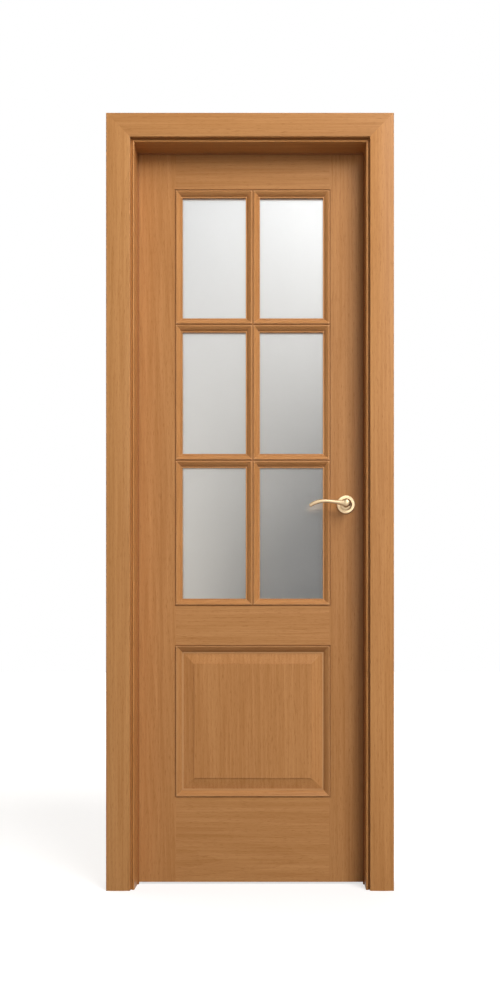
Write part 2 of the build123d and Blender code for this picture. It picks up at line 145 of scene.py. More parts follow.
class OakSettings(bpy.types.PropertyGroup):
    """Colours and figure of the lacquered oak."""

    pale: bpy.props.FloatVectorProperty(
        name="Pale wood", description="Early wood between the rings", subtype="COLOR",
        size=3, min=0, max=1, default=(0.520, 0.250, 0.091),
    )
    dark: bpy.props.FloatVectorProperty(
        name="Dark wood", description="Late wood in the rings", subtype="COLOR",
        size=3, min=0, max=1, default=(0.389, 0.167, 0.052),
    )
    # The pore colour is also used for the painted shade in inner corners.
    pore: bpy.props.FloatVectorProperty(
        name="Pores", description="Open pores filled with stain", subtype="COLOR",
        size=3, min=0, max=1, default=(0.272, 0.101, 0.027),
    )
    # Painted highlight: a pale colour laid along the arrises of the beads and mouldings.
    arris_highlight: bpy.props.FloatVectorProperty(
        name="Arris highlight", description="Painted highlight on the wood along the arrises", subtype="COLOR",
        size=3, min=0, max=1, default=(0.72, 0.42, 0.20),
    )
    ring_spacing: bpy.props.FloatProperty(
        name="Ring spacing", description="Distance between growth rings", unit="LENGTH", default=0.011,
    )
    band_width: bpy.props.FloatProperty(
        name="Band width", description="Width of a soft band of tone", unit="LENGTH", default=0.016,
    )
    band_length: bpy.props.FloatProperty(
        name="Band length", description="Length of a soft band of tone", unit="LENGTH", default=0.55,
    )
    streak_width: bpy.props.FloatProperty(
        name="Streak width", description="Width of a streak of fibres", unit="LENGTH", default=0.0042,
    )
    streak_length: bpy.props.FloatProperty(
        name="Streak length", description="Length of a streak of fibres", unit="LENGTH", default=0.20,
    )
    pore_width: bpy.props.FloatProperty(
        name="Pore width", description="Width of an open pore", unit="LENGTH", default=0.0009,
    )
    pore_length: bpy.props.FloatProperty(
        name="Pore length", description="Length of an open pore", unit="LENGTH", default=0.022,
    )
    arris_width: bpy.props.FloatProperty(
        name="Arris width", description="How far the painted highlight reaches from an arris", unit="LENGTH",
        default=0.0025,
    )
    arris_highlight_strength: bpy.props.FloatProperty(
        name="Arris highlight strength", description="How strong the painted highlight is on the beads' arrises",
        subtype="FACTOR", min=0, max=1, default=0.4,
    )
    # Painted shade: how far and how strongly inner corners are darkened.
    quirk_width: bpy.props.FloatProperty(
        name="Quirk width", description="How far the painted shade reaches from an inner corner",
        unit="LENGTH", default=0.004,
    )
    quirk_shade: bpy.props.FloatProperty(
        name="Quirk shade", description="How much painted shade darkens an inner corner", subtype="FACTOR",
        min=0, max=1, default=0.5,
    )
    lacquer: bpy.props.FloatProperty(
        name="Lacquer", description="Strength of the lacquer's gloss", subtype="FACTOR",
        min=0, max=1, default=0.20,
    )
    lacquer_dullness: bpy.props.FloatProperty(
        name="Lacquer dullness", description="Roughness of the lacquer", subtype="FACTOR",
        min=0, max=1, default=0.32,
    )
    casing_tint: bpy.props.FloatVectorProperty(
        name="Casing tint", description="What the casings' timber is multiplied by", subtype="COLOR",
        size=3, min=0, soft_max=2, default=(1.02, 1.05, 1.06),
    )
    frame_tint: bpy.props.FloatVectorProperty(
        name="Frame tint", description="What the jambs' timber is multiplied by", subtype="COLOR",
        size=3, min=0, soft_max=2, default=(1.0, 1.0, 0.96),
    )
    leaf_tint: bpy.props.FloatVectorProperty(
        name="Leaf tint", description="What the leaf's timber is multiplied by", subtype="COLOR",
        size=3, min=0, soft_max=2, default=(0.945, 0.96, 0.98),
    )


class GlassSettings(bpy.types.PropertyGroup):
    """Tint and frosting of the panes, and the glowing sheet behind them that paints their light and shade.
    """

    tint: bpy.props.FloatVectorProperty(
        name="Tint", description="Colour of the light that comes through", subtype="COLOR",
        size=3, min=0, max=1, default=(0.93, 0.94, 0.94),
    )
    frosting: bpy.props.FloatProperty(
        name="Frosting", description="Roughness of the etched faces", subtype="FACTOR",
        min=0, max=1, default=0.45,
    )
    pane_shading_left: bpy.props.FloatVectorProperty(
        name="Painted pane shading at the left", description="Brightness behind the foot and the head of the left panes",
        size=2, default=(0.42, 0.685),
    )
    pane_shading_right: bpy.props.FloatVectorProperty(
        name="Painted pane shading at the right", description="Brightness behind the foot and the head of the right panes",
        size=2, default=(-0.27, 0.99),
    )
    pane_shading_depth: bpy.props.FloatProperty(
        name="Painted pane shading depth", description="How far behind the door the sheet of painted pane shading hangs", unit="LENGTH",
        default=0.9,
    )


class SealSettings(bpy.types.PropertyGroup):
    """The soft strip in the corner between the stop and the closed leaf, whose dark brown also serves as
    painted shade in that gap.
    """

    # The seal's dark brown is partly its own colour and partly painted shade for the gap between stop and
    # leaf.
    brown: bpy.props.FloatVectorProperty(
        name="Brown", description="Colour of the seal", subtype="COLOR",
        size=3, min=0, max=1, default=(0.235, 0.085, 0.022),
    )
    depth: bpy.props.FloatProperty(
        name="Depth", description="Size of the seal from the stop to the leaf", unit="LENGTH",
        default=0.0038,
    )
    clearance: bpy.props.FloatProperty(
        name="Clearance", description="Room between the seal and the closed leaf", unit="LENGTH",
        default=0.001,
    )
    lip: bpy.props.FloatProperty(
        name="Lip", description="How far the seal shows past the stop", unit="LENGTH", default=0.004,
    )
    root: bpy.props.FloatProperty(
        name="Root", description="How far the seal reaches in behind the stop", unit="LENGTH",
        default=0.006,
    )


class BrassSettings(bpy.types.PropertyGroup):
    """Colour and polish of the brassware, and the screws that hold it."""

    brass: bpy.props.FloatVectorProperty(
        name="Brass", description="Colour of the satin brass", subtype="COLOR",
        size=3, min=0, max=1, default=(0.57, 0.43, 0.265),
    )
    steel: bpy.props.FloatVectorProperty(
        name="Steel", description="Colour of the spindle's steel", subtype="COLOR",
        size=3, min=0, max=1, default=(0.55, 0.55, 0.56),
    )
    polish: bpy.props.FloatProperty(
        name="Polish", description="Roughness of the satin face", subtype="FACTOR",
        min=0, max=1, default=0.44,
    )
    screw_radius: bpy.props.FloatProperty(
        name="Screw head radius", description="Radius of a raised countersunk head", unit="LENGTH",
        default=0.0036,
    )
    screw_rise: bpy.props.FloatProperty(
        name="Screw head rise", description="How far a head stands out of its plate", unit="LENGTH",
        default=0.0008,
    )


class StageSettings(bpy.types.PropertyGroup):
    """Camera, lamps, soft light and floor."""

    camera_place: bpy.props.FloatVectorProperty(
        name="Camera", description="Where the camera stands", subtype="TRANSLATION", unit="LENGTH",
        size=3, default=(0.464, -3.103, 0.680),
    )
    lens: bpy.props.FloatProperty(
        name="Lens", description="Focal length in millimetres", default=40.40,
    )
    shift: bpy.props.FloatVectorProperty(
        name="Shift", description="Shift of the view, as shares of its long side", size=2,
        default=(-0.0406, 0.1397),
    )
    key_towards: bpy.props.FloatVectorProperty(
        name="Key direction", description="Where the key lamp stands, seen from the door",
        subtype="DIRECTION", size=3, default=(0.54, -1.0, 0.70),
    )
    key_power: bpy.props.FloatProperty(
        name="Key power", description="Power of the large soft lamp", unit="POWER", default=280.0,
    )
    key_size: bpy.props.FloatProperty(
        name="Key size", description="Width of the key lamp", unit="LENGTH", default=3.0,
    )
    top_power: bpy.props.FloatProperty(
        name="Top power", description="Power of the lamp high in front", unit="POWER", default=80.0,
    )
    front_power: bpy.props.FloatProperty(
        name="Front power", description="Power of the lamp in front", unit="POWER", default=50.0,
    )
    fill: bpy.props.FloatProperty(
        name="Fill", description="Level of the light from all round", default=0.10,
    )
    fill_colour: bpy.props.FloatVectorProperty(
        name="Fill colour", description="Colour of the light from all round", subtype="COLOR",
        size=3, min=0, max=1, default=(1.0, 0.82, 0.62),
    )
    back_towards: bpy.props.FloatVectorProperty(
        name="Back direction", description="Where the soft light on the back comes from",
        subtype="DIRECTION", size=3, default=(-0.45, 0.80, 0.40),
    )
    back_fill: bpy.props.FloatProperty(
        name="Back fill", description="Level of the white light from behind the door", default=2.3,
    )
    floor_side: bpy.props.FloatProperty(
        name="Floor", description="Side of the floor", unit="LENGTH", default=40.0,
    )


def add_node(tree, kind, **inputs):
    """Add a shader node and set its named inputs."""
    made = tree.nodes.new(kind)
    for name, value in inputs.items():
        made.inputs[name.replace("_", " ")].default_value = value
    return made


def stretched(tree, grain, across, along):
    """The grain's coordinates, counted in features of that width and length."""
    mapping = add_node(tree, "ShaderNodeMapping", Scale=(1 / across, 1 / across, 1 / along))
    tree.links.new(grain, mapping.inputs["Vector"])
    return mapping.outputs["Vector"]


def combined(tree, operation, first, second):
    """Math on two sockets, or on a socket and a number."""
    made = tree.nodes.new("ShaderNodeMath")
    made.operation = operation
    for socket, value in zip(made.inputs, (first, second)):
        if isinstance(value, (int, float)):
            socket.default_value = value
        else:
            tree.links.new(value, socket)
    return made.outputs["Value"]


def ramp(tree, value, ends, results, clamp=True):
    """The value carried from one pair of ends to another."""
    made = add_node(
        tree, "ShaderNodeMapRange", From_Min=ends[0], From_Max=ends[1],
        To_Min=results[0], To_Max=results[1],
    )
    made.clamp = clamp
    tree.links.new(value, made.inputs["Value"])
    return made.outputs["Result"]


def speckle(tree, vector, detail, spread):
    """Noise over the vector, with the ends of the spread carried to 0 and 1."""
    noise = add_node(tree, "ShaderNodeTexNoise", Scale=1.0, Detail=detail, Roughness=0.6)
    tree.links.new(vector, noise.inputs["Vector"])
    return ramp(tree, noise.outputs["Fac"], spread, (0, 1))


def weighed(tree, *parts):
    """Sum of sockets, each times its weight."""
    total, *others = [combined(tree, "MULTIPLY", socket, weight) for socket, weight in parts]
    for share in others:
        total = combined(tree, "ADD", total, share)
    return total


def tinted(tree, factor, first, second):
    """Mix of two colours, each a socket or three numbers."""
    made = tree.nodes.new("ShaderNodeMix")
    made.data_type = "RGBA"
    tree.links.new(factor, made.inputs["Factor"])
    for socket, value in ((made.inputs[MIX_FIRST], first), (made.inputs[MIX_SECOND], second)):
        if isinstance(value, bpy.types.NodeSocket):
            tree.links.new(value, socket)
        else:
            socket.default_value = (*value, 1)
    return made.outputs[MIX_RESULT]


def growth_rings(tree, grain, spacing):
    """Rings about a heart that leans a little from the grain, so that a face cuts them in long arcs."""
    lean = add_node(tree, "ShaderNodeMapping", Location=HEART_OFFSET, Rotation=HEART_LEAN)
    flatten = add_node(tree, "ShaderNodeMapping", Scale=HEART_STRETCH)
    wave = add_node(
        tree, "ShaderNodeTexWave", Scale=math.tau / WAVE_RADIANS / spacing, Distortion=3.0, Detail=3.0,
        Detail_Scale=1.2, Detail_Roughness=0.62,
    )
    wave.wave_type = "RINGS"
    wave.rings_direction = "Z"
    wave.wave_profile = "SAW"
    tree.links.new(grain, lean.inputs["Vector"])
    tree.links.new(lean.outputs["Vector"], flatten.inputs["Vector"])
    tree.links.new(flatten.outputs["Vector"], wave.inputs["Vector"])
    return wave.outputs["Fac"]


def closeness(tree, width, inside):
    """0 on open faces and up to 1 beside an arris, or in an inner corner where inside is false."""
    probe = add_node(tree, "ShaderNodeAmbientOcclusion", Distance=width)
    probe.inside = inside
    probe.only_local = True
    return ramp(tree, probe.outputs["AO"], OCCLUSION_RANGE, (0, 1))


def oak_figure(oak):
    """Node group with the oak's colour, roughness and relief for grain along z."""
    tree = bpy.data.node_groups.get("oak_figure")
    if tree:
        return tree
    tree = bpy.data.node_groups.new("oak_figure", "ShaderNodeTree")
    tree.interface.new_socket("Grain", in_out="INPUT", socket_type="NodeSocketVector")
    tree.interface.new_socket("Tint", in_out="INPUT", socket_type="NodeSocketVector")
    tree.interface.new_socket("Highlight", in_out="INPUT", socket_type="NodeSocketFloat")
    tree.interface.new_socket("Color", in_out="OUTPUT", socket_type="NodeSocketColor")
    tree.interface.new_socket("Roughness", in_out="OUTPUT", socket_type="NodeSocketFloat")
    tree.interface.new_socket("Relief", in_out="OUTPUT", socket_type="NodeSocketFloat")
    given = tree.nodes.new("NodeGroupInput")
    result = tree.nodes.new("NodeGroupOutput")
    grain = given.outputs["Grain"]

    rings = growth_rings(tree, grain, oak.ring_spacing)
    bands = speckle(tree, stretched(tree, grain, oak.band_width, oak.band_length), 2.0, BAND_SPREAD)
    streaks = speckle(tree, stretched(tree, grain, oak.streak_width, oak.streak_length), 4.0, STREAK_SPREAD)
    pores = speckle(tree, stretched(tree, grain, oak.pore_width, oak.pore_length), 2.0, PORE_SPREAD)

    figure = weighed(tree, (rings, RING_SHARE), (streaks, STREAK_SHARE), (bands, BAND_SHARE))
    wood = tinted(tree, figure, oak.pale, oak.dark)
    filling = combined(tree, "ADD", combined(tree, "MULTIPLY", rings, PORE_RING_FILL), PORE_FILL)
    wood = tinted(tree, combined(tree, "MULTIPLY", pores, filling), wood, oak.pore)
    # Painted highlight: the arrises of beads and mouldings made paler, where they catch the light.
    arris = combined(tree, "MULTIPLY", closeness(tree, oak.arris_width, True), given.outputs["Highlight"])
    wood = tinted(tree, arris, wood, oak.arris_highlight)
    # Painted shade: inner corners and quirks darkened towards the pore colour.
    quirk = combined(tree, "MULTIPLY", closeness(tree, oak.quirk_width, False), oak.quirk_shade)
    wood = tinted(tree, quirk, wood, oak.pore)

    toned = tree.nodes.new("ShaderNodeVectorMath")
    toned.operation = "MULTIPLY"
    tree.links.new(wood, toned.inputs[0])
    tree.links.new(given.outputs["Tint"], toned.inputs[1])
    tree.links.new(toned.outputs["Vector"], result.inputs["Color"])

    dull = weighed(tree, (streaks, STREAK_DULLNESS), (pores, PORE_DULLNESS))
    tree.links.new(combined(tree, "ADD", dull, OAK_DULLNESS), result.inputs["Roughness"])
    relief = weighed(tree, (streaks, STREAK_RELIEF), (pores, PORE_RELIEF))
    tree.links.new(relief, result.inputs["Relief"])
    return tree


def new_material(name):
    """A material, its node tree and its shader."""
    material = bpy.data.materials.new(name)
    material.use_nodes = True
    tree = material.node_tree
    return material, tree, tree.nodes["Principled BSDF"]


def dress(name, material):
    """Give a node its material."""
    node = NODES[name]
    node.data.materials.clear()
    node.data.materials.append(material)


def oak_board(name, oak, tint, draw):
    """Material of one timber piece: grain along its length, with its own stretch of the figure."""
    material, tree, shader = new_material(f"{name}_oak")
    level = any(word in name for word in LEVEL_WORDS)
    coordinates = tree.nodes.new("ShaderNodeTexCoord")
    turn = add_node(
        tree, "ShaderNodeMapping",
        Location=[draw.uniform(*ends) for ends in BOARD_SHIFTS],
        Rotation=(0, math.radians(-90 if level else 0), 0),
    )
    figure = tree.nodes.new("ShaderNodeGroup")
    figure.node_tree = oak_figure(oak)
    tone, warmth = draw.uniform(*BOARD_TONE), draw.uniform(*BOARD_WARMTH)
    board = Vector(tint) * Vector((1, 1 - warmth, 1 - 2 * warmth))
    # Each board's tone, with the painted highlight on the upright beads.
    figure.inputs["Tint"].default_value = tone * BOARD_TONES_AND_BEAD_HIGHLIGHT.get(name, 1.0) * board
    # Beads and mouldings get the painted arris highlight.
    if any(word in name for word in TRIM_WORDS):
        figure.inputs["Highlight"].default_value = oak.arris_highlight_strength
    bump = add_node(tree, "ShaderNodeBump", Strength=0.25, Distance=0.0003)
    tree.links.new(coordinates.outputs["Object"], turn.inputs["Vector"])
    tree.links.new(turn.outputs["Vector"], figure.inputs["Grain"])
    tree.links.new(figure.outputs["Color"], shader.inputs["Base Color"])
    tree.links.new(figure.outputs["Roughness"], shader.inputs["Roughness"])
    tree.links.new(figure.outputs["Relief"], bump.inputs["Height"])
    tree.links.new(bump.outputs["Normal"], shader.inputs["Normal"])
    shader.inputs["Specular IOR Level"].default_value = OAK_SHEEN
    shader.inputs["Specular Tint"].default_value = (*oak.pale, 1)
    shader.inputs["Coat Weight"].default_value = oak.lacquer
    shader.inputs["Coat Roughness"].default_value = oak.lacquer_dullness
    return material


def frosted_glass(glass):
    """Etched glass: rough faces with a fine, slightly uneven tooth."""
    material, tree, shader = new_material("frosted_glass")
    coordinates = tree.nodes.new("ShaderNodeTexCoord")
    tooth = add_node(tree, "ShaderNodeTexNoise", Scale=900.0, Detail=2.0, Roughness=0.6)
    cloud = add_node(tree, "ShaderNodeTexNoise", Scale=14.0, Detail=3.0, Roughness=0.55)
    bump = add_node(tree, "ShaderNodeBump", Strength=0.08, Distance=0.0002)
    for texture in (tooth, cloud):
        tree.links.new(coordinates.outputs["Object"], texture.inputs["Vector"])
    dullness = (glass.frosting - FROST_CHANGE, glass.frosting + FROST_CHANGE)
    tree.links.new(ramp(tree, cloud.outputs["Fac"], NOISE_MIDDLE, dullness), shader.inputs["Roughness"])
    tree.links.new(tooth.outputs["Fac"], bump.inputs["Height"])
    tree.links.new(bump.outputs["Normal"], shader.inputs["Normal"])
    shader.inputs["Base Color"].default_value = (*glass.tint, 1)
    shader.inputs["Transmission Weight"].default_value = 1.0
    shader.inputs["IOR"].default_value = 1.5
    return material


def satin_metal(name, colour, polish):
    """Drawn metal with a faint uneven polish."""
    material, tree, shader = new_material(name)
    coordinates = tree.nodes.new("ShaderNodeTexCoord")
    cloud = add_node(tree, "ShaderNodeTexNoise", Scale=55.0, Detail=4.0, Roughness=0.6)
    grit = add_node(tree, "ShaderNodeTexNoise", Scale=1800.0, Detail=2.0, Roughness=0.5)
    bump = add_node(tree, "ShaderNodeBump", Strength=0.03, Distance=0.0001)
    for texture in (cloud, grit):
        tree.links.new(coordinates.outputs["Object"], texture.inputs["Vector"])
    dim, bright = (tuple(share * part for part in colour) for share in METAL_TONES)
    tone = tinted(tree, cloud.outputs["Fac"], dim, bright)
    tree.links.new(tone, shader.inputs["Base Color"])
    worn = ramp(tree, cloud.outputs["Fac"], NOISE_MIDDLE, [polish + change for change in METAL_WEAR])
    tree.links.new(worn, shader.inputs["Roughness"])
    tree.links.new(grit.outputs["Fac"], bump.inputs["Height"])
    tree.links.new(bump.outputs["Normal"], shader.inputs["Normal"])
    shader.inputs["Metallic"].default_value = 1.0
    return material


def new_piece(name, shape, body, material):
    """Make an object of a bmesh, in place, that rides on a body."""
    mesh = bpy.data.meshes.new(name)
    bmesh.ops.remove_doubles(shape, verts=shape.verts, dist=MERGE_DISTANCE)
    bmesh.ops.recalc_face_normals(shape, faces=shape.faces)
    shape.to_mesh(mesh)
    shape.free()
    mesh.materials.append(material)
    piece = bpy.data.objects.new(name, mesh)
    bpy.context.scene.collection.objects.link(piece)
    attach(piece, body)


def seal_rubber(settings):
    """Matt brown rubber with a faint bloom; its dark brown also serves as painted shade in the gap at the
    stop.
    """
    material, tree, shader = new_material("seal_rubber")
    coordinates = tree.nodes.new("ShaderNodeTexCoord")
    bloom = add_node(tree, "ShaderNodeTexNoise", Scale=160.0, Detail=3.0, Roughness=0.6)
    tree.links.new(coordinates.outputs["Object"], bloom.inputs["Vector"])
    pale = tuple(RUBBER_BLOOM * part for part in settings.brown)
    tree.links.new(tinted(tree, bloom.outputs["Fac"], settings.brown, pale), shader.inputs["Base Color"])
    shader.inputs["Roughness"].default_value = 0.65
    shader.inputs["Specular IOR Level"].default_value = 0.25
    return material


def seal_shape(settings):
    """One strip up the hinge jamb, along the head and down the strike jamb, mitred in the corners."""
    left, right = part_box("hinge_jamb")[1][0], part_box("strike_jamb")[0][0]
    head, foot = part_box("head_jamb")[0][2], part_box("hinge_jamb")[0][2]
    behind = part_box("hinge_stile")[0][1] - settings.clearance - settings.depth / 2
    half, middle = (settings.lip + settings.root) / 2, (settings.lip - settings.root) / 2
    corners = ((left, 1, foot, 0), (left, 1, head, -1), (right, -1, head, -1), (right, -1, foot, 0))

    shape = bmesh.new()
    section = Matrix.Translation((middle, behind, 0)) @ Matrix.Diagonal((half, settings.depth / 2, 1, 1))
    ring = bmesh.ops.create_circle(shape, segments=SEAL_SIDES, radius=1.0, matrix=section)["verts"]
    edges = list({edge for vert in ring for edge in vert.link_edges})
    last_x, last_inward = 0.0, 1
    for x, inward, z, downward in corners:
        for vert in ring:
            lip = (vert.co.x - last_x) * last_inward
            vert.co = (x + inward * lip, vert.co.y, z + downward * lip)
        last_x, last_inward = x, inward
        if (x, z) != (right, foot):
            grown = bmesh.ops.extrude_edge_only(shape, edges=edges)["geom"]
            ring = [part for part in grown if isinstance(part, bmesh.types.BMVert)]
            edges = [part for part in grown if isinstance(part, bmesh.types.BMEdge) and part.is_boundary]
    bmesh.ops.holes_fill(shape, edges=[edge for edge in shape.edges if edge.is_boundary])
    return shape


def plate_face(name, outward):
    """A point and the normal of the widest flat face of a plate that looks outward."""
    facing = [p for p in NODES[name].data.polygons if p.normal.dot(Vector(outward)) > FLAT_COSINE]
    widest = max(facing, key=lambda polygon: polygon.area)
    return widest.center.copy(), widest.normal.copy()


def on_face(name, outward, across, level):
    """The frame that turns z to a plate's face, at that y and z of the door."""
    point, normal = plate_face(name, outward)
    spot = Vector((point.x, across, level))
    spot.x -= (spot - point).dot(normal) / normal.x
    return Matrix.Translation(spot) @ normal.to_track_quat("Z", "Y").to_matrix().to_4x4()


def add_screw(shape, place, settings):
    """Raised countersunk head with a cross recess, standing on z = 0 of its place."""
    radius, rise = settings.screw_radius, settings.screw_rise
    reach, slot = SCREW_CROSS_REACH * radius, SCREW_CROSS_HALF * radius
    before = set(shape.verts)
    top = bmesh.ops.create_grid(shape, x_segments=3, y_segments=3, size=reach)["verts"]
    for vert in top:
        for axis in (0, 1):
            if abs(vert.co[axis]) < reach / 2:
                vert.co[axis] = math.copysign(slot, vert.co[axis])
    tiles = {face for vert in top for face in vert.link_faces}
    cross = [tile for tile in tiles if min(map(abs, tile.calc_center_median().xy)) < slot]
    square = {edge for vert in top for edge in vert.link_edges if edge.is_boundary}
    ring = bmesh.ops.create_circle(shape, segments=SCREW_SIDES, radius=SCREW_TOP * radius)["verts"]
    rim = {edge for vert in ring for edge in vert.link_edges}
    bmesh.ops.bridge_loops(shape, edges=list(square | rim))
    for share, drop in SCREW_RIM:
        grown = bmesh.ops.extrude_edge_only(shape, edges=list(rim))["geom"]
        outer = [part for part in grown if isinstance(part, bmesh.types.BMVert)]
        rim = {part for part in grown if isinstance(part, bmesh.types.BMEdge)}
        for vert in outer:
            vert.co = (*(vert.co.xy.normalized() * share * radius), drop * rise)
    sunk = bmesh.ops.extrude_face_region(shape, geom=cross)["geom"]
    floor = [part for part in sunk if isinstance(part, bmesh.types.BMVert)]
    bmesh.ops.translate(shape, verts=floor, vec=(0, 0, -SCREW_CROSS_DEPTH * rise))
    bmesh.ops.delete(shape, geom=cross, context="FACES_ONLY")
    mine = [vert for vert in shape.verts if vert not in before]
    bmesh.ops.transform(shape, matrix=place @ Matrix.Translation((0, 0, rise)), verts=mine)


def add_plate_screws(plate, outward, spots, settings):
    """The screws of one plate, at these offsets across and up from its middle."""
    corners = [Vector(corner) for corner in NODES[plate].bound_box]
    middle = sum(corners, Vector()) / len(corners)
    shape = bmesh.new()
    for across, up in spots:
        place = on_face(plate, outward, middle.y + across, middle.z + up)
        turn = Matrix.Rotation(SCREW_TURN * (across + up), 4, "Z")
        add_screw(shape, place @ turn, settings)
    new_piece(f"{plate}_screws", shape, BODY_OF[plate], bpy.data.materials["satin_brass"])


def seen_directly(tree):
    """1 for the rays that show the background: to the camera, mirrored or through glass."""
    path = tree.nodes.new("ShaderNodeLightPath")
    seen = combined(tree, "MAXIMUM", path.outputs["Is Camera Ray"], path.outputs["Is Glossy Ray"])
    return combined(tree, "MAXIMUM", seen, path.outputs["Is Transmission Ray"])


def add_sheet(name, place, side):
    """A flat square sheet of the stage with its own material."""
    shape = bmesh.new()
    bmesh.ops.create_grid(shape, x_segments=1, y_segments=1, size=side / 2)
    bmesh.ops.transform(shape, matrix=place, verts=shape.verts)
    mesh = bpy.data.meshes.new(name)
    shape.to_mesh(mesh)
    shape.free()
    sheet = bpy.data.objects.new(name, mesh)
    bpy.context.scene.collection.objects.link(sheet)
    material, tree, shader = new_material(name)
    mesh.materials.append(material)
    return sheet, tree, shader


def add_floor(settings):
    """A pale floor that shows white and keeps the door's shadow."""
    _, tree, shader = add_sheet("pale_floor", Matrix(), settings.floor_side)
    shader.inputs["Base Color"].default_value = FLOOR_BOUNCE
    shader.inputs["Roughness"].default_value = 0.9
    shader.inputs["Specular IOR Level"].default_value = 0.0
    coordinates = tree.nodes.new("ShaderNodeTexCoord")
    reach = tree.nodes.new("ShaderNodeVectorMath")
    reach.operation = "LENGTH"
    tree.links.new(coordinates.outputs["Object"], reach.inputs["Vector"])
    lit = add_node(tree, "ShaderNodeBsdfDiffuse", Color=FLOOR_GREY)
    glow = add_node(tree, "ShaderNodeEmission", Color=(1, 1, 1, 1))
    tree.links.new(ramp(tree, reach.outputs["Value"], FLOOR_REACH, FLOOR_GLOW), glow.inputs["Strength"])
    white = tree.nodes.new("ShaderNodeAddShader")
    mix = tree.nodes.new("ShaderNodeMixShader")
    tree.links.new(lit.outputs["BSDF"], white.inputs[0])
    tree.links.new(glow.outputs["Emission"], white.inputs[1])
    tree.links.new(seen_directly(tree), mix.inputs["Fac"])
    tree.links.new(shader.outputs["BSDF"], mix.inputs[1])
    tree.links.new(white.outputs["Shader"], mix.inputs[2])
    tree.links.new(mix.outputs["Shader"], tree.nodes["Material Output"].inputs["Surface"])


def add_painted_pane_shading(glass):
    """A backdrop that only the light through the panes shows, painting their light and shade: dim low at
    the right and bright above.
    """
    place = Matrix.Translation((0, glass.pane_shading_depth, 0)) @ Matrix.Rotation(math.radians(90), 4, "X")
    painted_pane_shading, tree, shader = add_sheet("painted_pane_shading", place, PANE_SHADING_SIDE)
    painted_pane_shading.visible_camera = False
    painted_pane_shading.visible_diffuse = False
    painted_pane_shading.visible_glossy = False
    painted_pane_shading.visible_shadow = False
    coordinates = tree.nodes.new("ShaderNodeTexCoord")
    split = tree.nodes.new("ShaderNodeSeparateXYZ")
    tree.links.new(coordinates.outputs["Object"], split.inputs["Vector"])
    # Painted light and shade for the panes: a level at the foot and the head of the left and right panes,
    # warmer low down.
    left = ramp(tree, split.outputs["Z"], PANE_SHADING_HEIGHT, glass.pane_shading_left, clamp=False)
    right = ramp(tree, split.outputs["Z"], PANE_SHADING_HEIGHT, glass.pane_shading_right, clamp=False)
    across = ramp(tree, split.outputs["X"], PANE_SHADING_WIDTH, (0, 1), clamp=False)
    spread = combined(tree, "MULTIPLY", across, combined(tree, "SUBTRACT", right, left))
    level = combined(tree, "MAXIMUM", combined(tree, "ADD", left, spread), PANE_SHADING_LEVELS[0])
    warmth = ramp(tree, split.outputs["Z"], PANE_SHADING_HEIGHT, (1, 0))
    glow = tree.nodes.new("ShaderNodeEmission")
    tree.links.new(tinted(tree, warmth, (1, 1, 1), PANE_SHADING_WARMTH), glow.inputs["Color"])
    tree.links.new(combined(tree, "MINIMUM", level, PANE_SHADING_LEVELS[1]), glow.inputs["Strength"])
    tree.links.new(glow.outputs["Emission"], tree.nodes["Material Output"].inputs["Surface"])
    tree.nodes.remove(shader)


def set_world(settings):
    """White where it is seen, and elsewhere a soft light that is dim in front and plain behind the door."""
    world = bpy.data.worlds.new("studio")
    bpy.context.scene.world = world
    world.use_nodes = True
    tree = world.node_tree
    soft = tree.nodes["Background"]
    coordinates = tree.nodes.new("ShaderNodeTexCoord")
    facing = tree.nodes.new("ShaderNodeVectorMath")
    facing.operation = "DOT_PRODUCT"
    facing.inputs[1].default_value = Vector(settings.back_towards).normalized()
    tree.links.new(coordinates.outputs["Generated"], facing.inputs[0])
    behind = ramp(tree, facing.outputs["Value"], BACK_SPREAD, (0, 1))
    level = ramp(tree, behind, (0, 1), (settings.fill, settings.back_fill))
    tree.links.new(tinted(tree, behind, settings.fill_colour, (1, 1, 1)), soft.inputs["Color"])
    tree.links.new(level, soft.inputs["Strength"])
    white = add_node(tree, "ShaderNodeBackground", Color=(1, 1, 1, 1), Strength=1.0)
    mix = tree.nodes.new("ShaderNodeMixShader")
    tree.links.new(seen_directly(tree), mix.inputs["Fac"])
    tree.links.new(soft.outputs["Background"], mix.inputs[1])
    tree.links.new(white.outputs["Background"], mix.inputs[2])
    tree.links.new(mix.outputs["Shader"], tree.nodes["World Output"].inputs["Surface"])


def add_lamp(name, power, size, place, target):
    """A round soft lamp that faces its target."""
    lamp = bpy.data.lights.new(name, "AREA")
    lamp.shape = "DISK"
    lamp.size = size
    lamp.energy = power
    made = bpy.data.objects.new(name, lamp)
    made.location = place
    made.rotation_euler = (place - target).to_track_quat("Z", "Y").to_euler()
    bpy.context.scene.collection.objects.link(made)


def add_lamps(settings):
    """A large soft key in front at the upper right, and weak lamps above and below it."""
    middle = (CAD_BOX[0] + CAD_BOX[1]) / 2
    towards = Vector(settings.key_towards).normalized()
    add_lamp("key", settings.key_power, settings.key_size, middle + KEY_DISTANCE * towards, middle)
    add_lamp("top", settings.top_power, TOP_SIZE, middle + Vector(TOP_PLACE), middle)
    add_lamp("front", settings.front_power, FRONT_SIZE, middle + Vector(FRONT_PLACE), middle)


def add_camera(settings):
    """A level camera that looks straight at the door, with the view shifted to frame it."""
    data = bpy.data.cameras.new("camera")
    data.sensor_fit = "AUTO"
    data.sensor_width = 36.0
    data.lens = settings.lens
    data.shift_x, data.shift_y = settings.shift
    camera = bpy.data.objects.new("camera", data)
    camera.location = settings.camera_place
    camera.rotation_euler = (math.radians(90), 0, 0)
    bpy.context.scene.collection.objects.link(camera)
    bpy.context.scene.camera = camera


